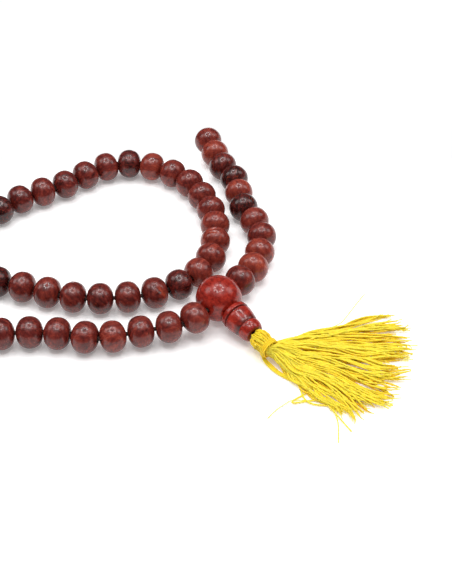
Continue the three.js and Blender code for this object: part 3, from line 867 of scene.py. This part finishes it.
skirt = Threads()
neck = root - outlet * (BINDING_WIDTH + 0.8 * MM)
for number in range(THREADS_IN_SKIRT):
    place, drift, phase, reach, gathered = clumps[number % CLUMPS]
    level = draw.random()
    apart = draw.gauss(0, 0.17)
    crossing = draw.gauss(0, 0.55) if level < 0.3 else draw.gauss(0, 0.12)
    reach *= draw.uniform(0.94, 1.01)
    wave = draw.gauss(0, 0.55)
    own_phase = draw.uniform(0, math.tau)
    pace = draw.uniform(2.0, 4.2)
    spot = neck_spot(place + apart, level)
    path = [neck + spot * 0.95, root + spot]
    start_height = path[1].z
    for k in range(2, POINTS_IN_THREAD + 1):
        share = k / POINTS_IN_THREAD * reach
        drawn_in = 1 - gathered * share ** 1.6
        shown = place + apart * drawn_in + drift * share ** 1.5 + crossing * share ** 2
        spot = fan_point(shown, min(share, 0.999))
        after = fan_point(shown, min(share + 0.02, 1))
        way = (after - spot).normalized() if (after - spot).length > 0 else Vector((1, 0, 0))
        side = Vector((-way.y, way.x, 0))
        sway = (1.0 * math.sin(phase + share * 11) * share
                + wave * math.sin(own_phase + share * math.tau * pace) * share ** 0.6 * drawn_in)
        heap = pile_height(shown, share)
        settled = min(1, share / 0.3)
        height = start_height * (1 - settled) + settled * (0.25 + level * heap) * MM
        ripple = 0.16 * math.sin(own_phase * 2 + share * 24) * settled * MM
        point = Vector((fan_root.x, fan_root.y, 0)) + spot + side * sway * MM
        point.z = max(table_height + THREAD_RADIUS * 1.2, height + ripple)
        path.append(point)
    line = resample(path, SKIRT_SPACING)
    # Painted shade: threads lower in the heap get a lower shade and so a more golden colour.
    shade = 0.08 + 0.55 * level + draw.uniform(-0.08, 0.08)
    skirt.lay(line, lambda t: THREAD_RADIUS * (1 if t < 0.95 else 1 - (t - 0.95) * 14), shade=shade)
    for _ in range(draw.choice((0, 1, 1, 2))):
        tip = line[-4]
        way = (line[-1] - line[-6]).normalized()
        bend = Vector((draw.uniform(-1, 1), draw.uniform(-1, 1), draw.uniform(0, 0.4))) * 0.7
        length = draw.uniform(1.2, 2.6) * MM
        wisp = [tip, tip + (way + bend * 0.3) * length * 0.4, tip + (way + bend * 0.6) * length]
        skirt.lay(resample(wisp, THREAD_SPACING), THREAD_RADIUS * 0.4, 4, 0.6, 0)


def loose(points, radius=0.16, shade=0.55):
    """A loose thread through points in mm: across the table, and its height above it."""
    path = [Vector((fan_root.x + x * MM, fan_root.y + y * MM, table_height + z * MM))
            for x, y, z in points]
    skirt.lay(resample(path, THREAD_SPACING), radius * MM, 6, shade, 0.1)


# Strays: what has pulled out of the fan's edges, and a loop that hangs from its lower one.
loose([(12, 8, 0.9), (17, 10.6, 0.9), (19, 12.4, 1.2), (22, 17, 1.6), (24.9, 21.7, 1.5)], 0.1)
loose([(9, -14.2, 0.4), (5.2, -14.2, 0.4), (3.6, -15.2, 0.4), (1.2, -17.4, 0.4), (-0.8, -20, 0.4)], 0.1)
loose([(11, -11.5, 0.8), (14, -16.2, 0.6), (14.9, -19.3, 0.5), (15.2, -22.1, 0.4), (14.9, -27.1, 0.3)],
      0.13)
loose([(12, -14, 0.8), (15.7, -19.9, 0.5), (17, -22, 0.4), (18.2, -23.9, 0.3)], 0.16)
loose([(7.2, -8.4, 0.5), (7.4, -11.6, 0.4), (8.2, -14, 0.4), (9.8, -15.3, 0.4), (12.3, -15.7, 0.4),
       (14, -15.9, 0.5)], 0.2)
loose([(10.4, -10.5, 0.6), (7.8, -12.4, 0.4), (5.3, -14.3, 0.4), (5.6, -15, 0.4), (9, -14.3, 0.4),
       (12.8, -14.2, 0.5)], 0.2)
for side in range(4):
    shift = side * 0.35
    loose([(-1.6 + shift * 0.3, 0.6, 1.6), (-1.3 + shift * 0.6, -1.2, 1.0), (-0.2 + shift, -2.9, 0.5),
           (1.7 + shift, -5.2, 0.4), (4.4 + shift, -7.4, 0.4 + 0.2 * side), (6.6 + shift, -8.9, 0.5),
           (9, -11.2 + shift, 0.5)], 0.2, 0.4)
skirt.gather("tassel_skirt_threads", "tassel_skirt")

# ---- The table and the light ----
# A plain white table under a ring of lamps straight overhead, a soft box to each side and a dim room.
LAMP_HEIGHT = 1.1
RING_ANGLE = math.radians(19)
RING_LAMPS = 8
RING_LEAN = 0.03  # the ring hangs a little behind the aim
RING_LAMP_SIZE = 0.11
RING_LAMP_RADIANCE = 34
SOFT_BOX_SIZE = 0.55
SOFT_BOX_RADIANCE = 3
SOFT_BOX_SIDEWAYS = 0.74
TABLE_GLOW = 0.22
ROOM_BELOW, ROOM_OVERHEAD, ROOM_SEEN = 0.12, 1.2, 1.02


def table_white():
    """Matt white, with a weak glow of its own that keeps the shadows on it light."""
    material, tree, shader = new_material("table_white")
    shader.inputs["Base Color"].default_value = (0.9, 0.9, 0.9, 1)
    shader.inputs["Roughness"].default_value = 0.8
    shader.inputs["Specular IOR Level"].default_value = 0.1
    shader.inputs["Emission Color"].default_value = (1, 1, 1, 1)
    shader.inputs["Emission Strength"].default_value = TABLE_GLOW
    return material


TABLE_REACH = 0.8  # to each side: past it the white room takes over
table_corners = [(x * TABLE_REACH, y * TABLE_REACH, 0) for x, y in ((-1, -1), (1, -1), (1, 1), (-1, 1))]
table_mesh = bpy.data.meshes.new("table")
table_mesh.from_pydata(table_corners, [], [(0, 1, 2, 3)])
table_mesh.materials.append(table_white())
table = bpy.data.objects.new("table", table_mesh)
table.location.z = table_height - 0.02 * MM
bpy.context.scene.collection.objects.link(table)


def lamp(name, direction, distance, size, radiance):
    """A round area light, `direction` from where the camera aims, this bright across its face."""
    light = bpy.data.lights.new(name, "AREA")
    light.shape = "DISK"
    light.size = size
    light.energy = radiance * math.pi * (math.pi * size * size / 4)
    thing = bpy.data.objects.new(name, light)
    bpy.context.scene.collection.objects.link(thing)
    thing.location = aim + direction.normalized() * distance
    thing.rotation_mode = "QUATERNION"
    thing.rotation_quaternion = (-direction).to_track_quat("-Z", "Y")


for k in range(RING_LAMPS):
    angle = 2 * math.pi * (k + 0.5) / RING_LAMPS
    tilt = math.sin(RING_ANGLE)
    direction = Vector((tilt * math.cos(angle), tilt * math.sin(angle) + RING_LEAN, math.cos(RING_ANGLE)))
    lamp(f"ring_lamp_{k + 1}", direction, LAMP_HEIGHT, RING_LAMP_SIZE, RING_LAMP_RADIANCE)
for side, x in (("left", -SOFT_BOX_SIDEWAYS), ("right", SOFT_BOX_SIDEWAYS)):
    lamp(f"soft_box_{side}", Vector((x, 0.12, 0.66)), LAMP_HEIGHT, SOFT_BOX_SIZE, SOFT_BOX_RADIANCE)

room = bpy.data.worlds.new("room")
bpy.context.scene.world = room
room.use_nodes = True
tree = room.node_tree
tree.nodes.clear()
seen = add(tree, "ShaderNodeLightPath").outputs["Is Camera Ray"]
place = add(tree, "ShaderNodeTexCoord").outputs["Generated"]
height = add(tree, "ShaderNodeSeparateXYZ", {"Vector": place}).outputs["Z"]
overhead = add(tree, "ShaderNodeMapRange", {"Value": height, "From Min": 0.72, "From Max": 0.86,
                                            "To Min": ROOM_BELOW,
                                            "To Max": ROOM_OVERHEAD})
dim = add(tree, "ShaderNodeBackground", {"Color": (1, 1, 1, 1),
                                         "Strength": overhead.outputs["Result"]})
bright = add(tree, "ShaderNodeBackground", {"Color": (1, 1, 1, 1), "Strength": ROOM_SEEN})
mixed = add(tree, "ShaderNodeMixShader", {0: seen, 1: dim.outputs[0], 2: bright.outputs[0]})
add(tree, "ShaderNodeOutputWorld", {"Surface": mixed.outputs[0]})
bpy.context.scene.view_settings.view_transform = "Standard"
bpy.context.scene.cycles.use_denoising = True
